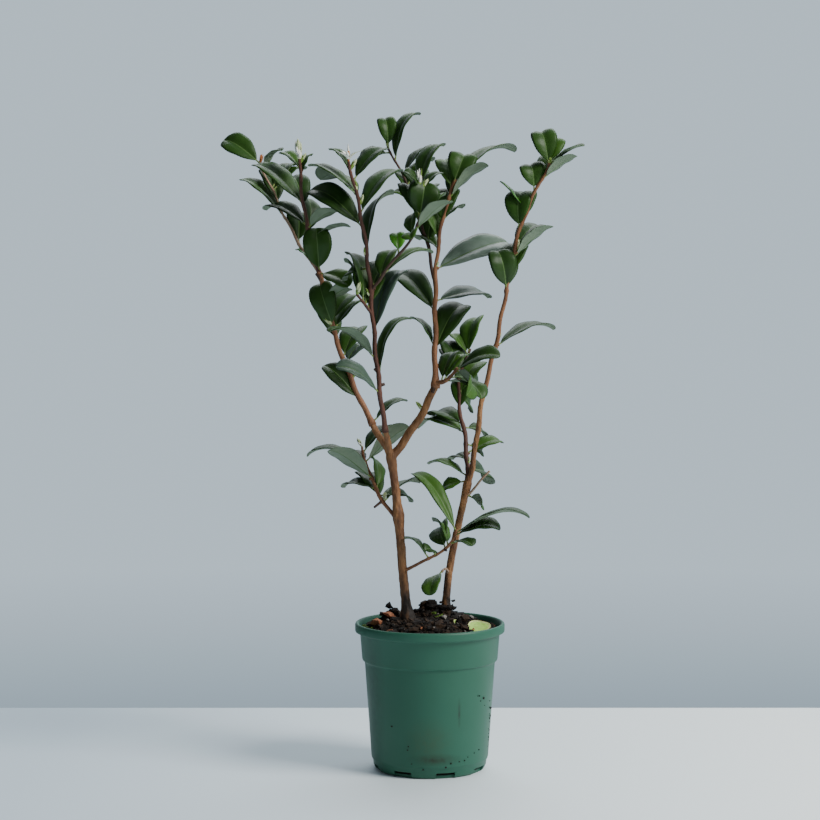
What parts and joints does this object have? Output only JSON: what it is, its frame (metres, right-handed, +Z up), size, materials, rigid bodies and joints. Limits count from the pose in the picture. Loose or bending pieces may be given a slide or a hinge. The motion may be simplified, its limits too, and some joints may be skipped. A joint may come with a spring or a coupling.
{
  "type": "camellia shrub in a pot",
  "caption": "Young evergreen camellia shrub with two upright stems and glossy leaves, standing in a round green nursery pot filled with bark compost.",
  "frame": {"origin": "the middle of the pot's flat underside", "axes": "+Z up the plant, -Y the side the picture shows, +X to that side's right"},
  "size_m": [0.3205, 0.1795, 0.5854],
  "materials": {
    "pot": "moulded, slightly sheened",
    "compost": "rough, moist",
    "bark": "thin smooth bark",
    "foliage": "glossy upper side, dull underside"
  },
  "bodies": {
    "root": {"pot": "pot", "root_ball": "compost", "stem_left": "bark", "stem_right": "bark", "bough_left": "bark", "bough_middle": "bark", "bough_right": "bark", "bough_outer": "bark", "foliage_left": "foliage", "foliage_middle": "foliage", "foliage_right": "foliage", "foliage_inner": "foliage", "foliage_outer": "foliage", "foliage_low_left": "foliage", "foliage_low_right": "foliage", "foliage_foot": "foliage", "twig_cut": "bark"}
  },
  "joints": []
}
